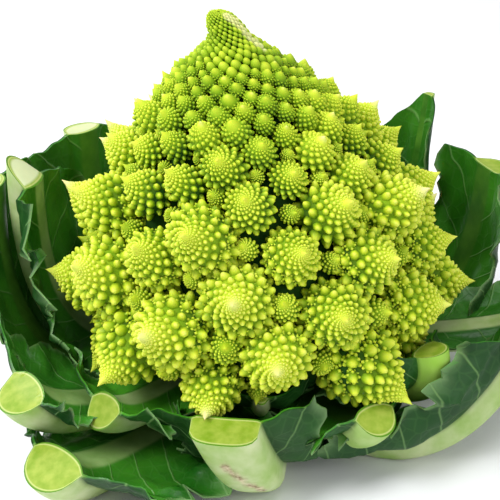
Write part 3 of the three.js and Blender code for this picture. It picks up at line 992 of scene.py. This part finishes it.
class Paint:
    """One material with a Principled shader, and one method that adds any other node."""

    def __init__(self, name, **constants):
        self.material = bpy.data.materials.new(name)
        self.material.use_nodes = True
        self.tree = self.material.node_tree
        self.shader = self.tree.nodes["Principled BSDF"]
        for socket, value in constants.items():
            self.shader.inputs[socket.replace("_", " ")].default_value = value

    def add(self, kind, settings, sockets, output=0):
        node = self.tree.nodes.new(kind)
        for key, value in settings.items():
            if key == "stops":
                ramp = node.color_ramp
                while len(ramp.elements) < len(value):
                    ramp.elements.new(0.5)
                for element, (position, shade) in zip(ramp.elements, value):
                    element.position = position
                    element.color = shade
            else:
                setattr(node, key, value)
        for key, value in sockets.items():
            if isinstance(value, Number):
                self.tree.links.new(value.socket, node.inputs[key])
            else:
                node.inputs[key].default_value = value
        return Number(self, node.outputs[output])

    def feed(self, socket, value):
        self.tree.links.new(value.socket, self.shader.inputs[socket])

    def tint(self, name):
        return self.add("ShaderNodeAttribute", {"attribute_name": name}, {}, "Fac")

    def place(self):
        return self.add("ShaderNodeTexCoord", {}, {}, "Object")

    def noise(self, where, scale, detail=2.0):
        return self.add("ShaderNodeTexNoise", {}, {"Vector": where, "Scale": scale, "Detail": detail}, 0)

    def span(self, value, low, high, to_low=0.0, to_high=1.0):
        """Maps low to high onto 0 to 1, with soft ends."""
        sockets = {0: value, 1: low, 2: high, 3: to_low, 4: to_high}
        return self.add("ShaderNodeMapRange", {"interpolation_type": "SMOOTHSTEP"}, sockets)

    def ramp(self, value, stops):
        return self.add("ShaderNodeValToRGB", {"stops": stops}, {0: value})

    def mix(self, share, a, b, blend="MIX"):
        settings = {"data_type": "RGBA", "blend_type": blend, "clamp_factor": True}
        return self.add("ShaderNodeMix", settings, {0: share, 6: a, 7: b}, 2)

    def bump(self, height, strength, distance):
        sockets = {"Height": height, "Strength": strength, "Distance": distance}
        self.feed("Normal", self.add("ShaderNodeBump", {}, sockets))


# %% [markdown]
# ## The curd's paint
# A bud is yellow green at its top and darker leaf green towards its foot and in the hollows: partly its own
# colour, partly painted shade. A floret's tip is palest.
# Some tips are whitish or tan, where they rubbed against the wrapping leaves.

# %% Curd paint
curd_paint = Paint("curd_flesh", Specular_IOR_Level=0.3, Subsurface_Weight=0.08, Subsurface_Scale=0.0012)
bud = curd_paint.tint("bud")
tip = curd_paint.tint("tip")
kind = curd_paint.tint("kind")
here = curd_paint.place()
patches = curd_paint.noise(here, 45.0)
# Painted shade: a low bud tint, at a bud's foot and between the buds, runs the ramp down to dark green.
ripeness_and_painted_shade = bud * 0.62 + tip * 0.3 + kind * 0.1 + (patches - 0.5) * 0.35
body_colour = curd_paint.ramp(ripeness_and_painted_shade, [
    (0.0, colour(24, 70, 0)),
    (0.28, colour(130, 166, 8)),
    (0.54, colour(200, 216, 48)),
    (0.88, colour(218, 224, 96)),
])
paleness = curd_paint.span(tip, 0.62, 1.0) * curd_paint.span(kind, 0.4, 0.85)
body_colour = curd_paint.mix(paleness * 0.8, body_colour, colour(238, 234, 172))
rubbed = curd_paint.span(tip, 0.8, 1.0) * curd_paint.span(kind, 0.74, 0.8)
body_colour = curd_paint.mix(rubbed * 0.55, body_colour, colour(206, 176, 118))
body_colour = curd_paint.mix(curd_paint.tint("worn") * 0.7, body_colour, colour(224, 222, 160))
curd_paint.feed("Base Color", body_colour)
curd_paint.feed("Roughness", curd_paint.span(bud, 0.0, 0.8, 0.85, 0.45))
grain = curd_paint.noise(here, 1400.0, 1.0)
curd_paint.bump(grain, 0.25, 0.0003)
for piece in curd_pieces:
    piece.data.materials.append(curd_paint.material)

# %% [markdown]
# ## The leaves' paint
# The blade is dark blue green under a thin wax, glossier on the side that faces the curd; that side and its
# rib are painted lighter, as painted light, because they lie in their own shade.
# Side veins leave the rib at a slant and fine ones net the blade between them. The rib is pale green,
# the cut is lime with a darker rim, and the torn margin is pale.

# %% Leaf paint
VEIN_GAP = 13.0  # millimetres between side veins
VEIN_SLANT = 0.75

leaf_paint = Paint("leaf_wax", Specular_IOR_Level=0.25, Subsurface_Weight=0.05, Subsurface_Scale=0.002)
here = leaf_paint.place()
rib_share = leaf_paint.span(leaf_paint.tint("rib"), 0.25, 0.75)
across = leaf_paint.tint("across")
along = leaf_paint.tint("along")
outside = leaf_paint.tint("outside")
cut_face = leaf_paint.tint("cut_face")
flesh = leaf_paint.tint("flesh")
margin = leaf_paint.tint("margin")

wander = leaf_paint.noise(here, 60.0) - 0.5
ladder = (along - abs(across) * VEIN_SLANT) / VEIN_GAP + wander * 0.25
off_vein = abs(leaf_paint.add("ShaderNodeMath", {"operation": "FRACT"}, {0: ladder}) - 0.5)
side_vein = leaf_paint.span(off_vein, 0.0, 0.045, 1.0, 0.0)
net = leaf_paint.add(
    "ShaderNodeTexVoronoi", {"feature": "DISTANCE_TO_EDGE"}, {"Vector": here, "Scale": 190.0}
)
net_vein = leaf_paint.span(net, 0.0, 0.12, 1.0, 0.0)

blotches = leaf_paint.noise(here, 30.0, 4.0)
# Painted light: the inner colours are lifted because the side that faces the curd lies in its own shade.
blade_inner_with_painted_light = leaf_paint.ramp(blotches, [(0.3, colour(24, 88, 10)), (0.7, colour(72, 146, 34))])
blade_outer = leaf_paint.ramp(blotches, [(0.3, colour(8, 40, 8)), (0.7, colour(30, 80, 22))])
facing_out = leaf_paint.span(outside, 0.3, 0.7)
blade = leaf_paint.mix(facing_out, blade_inner_with_painted_light, blade_outer)
blade = leaf_paint.mix(leaf_paint.tint("kind") * 0.3, blade, colour(20, 74, 30))
blade = leaf_paint.mix(net_vein * 0.1, blade, colour(84, 130, 66))
blade = leaf_paint.mix(side_vein * 0.4, blade, colour(128, 168, 100))
rib_mottle = leaf_paint.noise(here, 90.0, 5.0)
rib_outer = leaf_paint.ramp(rib_mottle, [(0.3, colour(144, 178, 88)), (0.7, colour(194, 206, 156))])
rib_inner_with_painted_light = leaf_paint.ramp(rib_mottle, [(0.3, colour(44, 98, 20)), (0.7, colour(88, 142, 44))])
rib_inner_with_painted_light = leaf_paint.mix(leaf_paint.tint("pale"), rib_inner_with_painted_light, rib_outer)
# Painted light: the lime tint lifts ribs that lie in shade, over their young colour.
rib_outer = leaf_paint.mix(leaf_paint.tint("fresh"), rib_outer, colour(146, 196, 52))
rib_colour = leaf_paint.mix(facing_out, rib_inner_with_painted_light, rib_outer)
skin = leaf_paint.mix(rib_share, blade, rib_colour)
skin = leaf_paint.mix(margin * 0.5, skin, colour(126, 160, 104))
skin = leaf_paint.mix(leaf_paint.tint("grazed"), skin, leaf_paint.ramp(leaf_paint.noise(here, 500.0, 4.0), [
    (0.35, colour(128, 104, 70)),
    (0.65, colour(214, 200, 168)),
]))
cut_inside = leaf_paint.ramp(leaf_paint.noise(here, 260.0, 4.0), [
    (0.3, colour(118, 150, 26)),
    (0.7, colour(154, 172, 66)),
])
cut_rind = leaf_paint.mix(leaf_paint.span(flesh, 0.5, 0.9), colour(84, 132, 20), colour(178, 190, 110))
cut_colour = leaf_paint.mix(leaf_paint.span(flesh, 1.0, 1.5), cut_rind, cut_inside)
dried = leaf_paint.tint("dried") * leaf_paint.span(flesh, 1.2, 2.6) * 0.75
cut_colour = leaf_paint.mix(dried, cut_colour, colour(222, 226, 190))
leaf_paint.feed("Base Color", leaf_paint.mix(cut_face * leaf_paint.tint("stem"), skin, cut_colour))
leaf_paint.feed("Roughness", 0.34 + facing_out * 0.14 + rib_share * 0.08)
relief = (side_vein * 0.7 + net_vein * 0.18) * (1 - rib_share) + leaf_paint.noise(here, 900.0) * 0.1
leaf_paint.bump(relief, 0.5, 0.0006)
for name, leaf in leaves:
    leaf.data.materials.append(leaf_paint.material)

# %% Stalk paint
stalk_paint = Paint("stalk_flesh", Roughness=0.5, Subsurface_Weight=0.1, Subsurface_Scale=0.003)
here = stalk_paint.place()
streaks = stalk_paint.noise(here, 120.0, 4.0)
stalk_paint.feed("Base Color", stalk_paint.ramp(streaks, [
    (0.3, colour(176, 200, 112)),
    (0.7, colour(222, 230, 180)),
]))
stalk_paint.bump(streaks, 0.3, 0.0005)
stalk.data.materials.append(stalk_paint.material)

# %% [markdown]
# ## Light and floor
# The head stands on a white table under large soft lamps. The key comes from the upper left,
# so the shadow falls softly to the right.

# %% Floor and lamps
nothing_selected()
bpy.ops.mesh.primitive_plane_add(size=8, location=(0, 0, 0))
floor = bpy.context.object
floor.name = "floor"
floor_paint = Paint("white_table", Roughness=0.6, Base_Color=(0.84, 0.85, 0.87, 1.0))
floor.data.materials.append(floor_paint.material)


def lamp(name, place, target, size, power):
    data = bpy.data.lights.new(name, "AREA")
    data.size = size
    data.energy = power
    light = bpy.data.objects.new(name, data)
    bpy.context.scene.collection.objects.link(light)
    light.location = place
    light.rotation_euler = (Vector(target) - Vector(place)).to_track_quat("-Z", "Y").to_euler()


lamp("key", (-0.6, -0.35, 0.75), (0, 0, 0.07), 0.35, 7.5)
lamp("fill", (0.75, -0.65, 0.55), (0, 0, 0.07), 0.6, 3.5)
lamp("top", (0.1, -0.25, 1.1), (0, 0, 0.07), 0.5, 3.5)
lamp("back", (-0.7, 0.6, 0.8), (0, 0, 0.05), 0.4, 7)

world = bpy.data.worlds.new("studio")
world.use_nodes = True
world.node_tree.nodes["Background"].inputs["Color"].default_value = (1, 1, 1, 1)
world.node_tree.nodes["Background"].inputs["Strength"].default_value = 0.5
bpy.context.scene.world = world
bpy.context.scene.view_settings.view_transform = "Standard"

# %% [markdown]
# ## What stands for what
# Each new piece moves with the head's one body and stands for a plain solid, which is hidden.

# %% Ride and replace
for piece in curd_pieces:
    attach(piece, "root")
    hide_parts("curd")
for name, leaf in leaves:
    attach(leaf, "root")
    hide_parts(name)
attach(stalk, "root")
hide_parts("stalk")
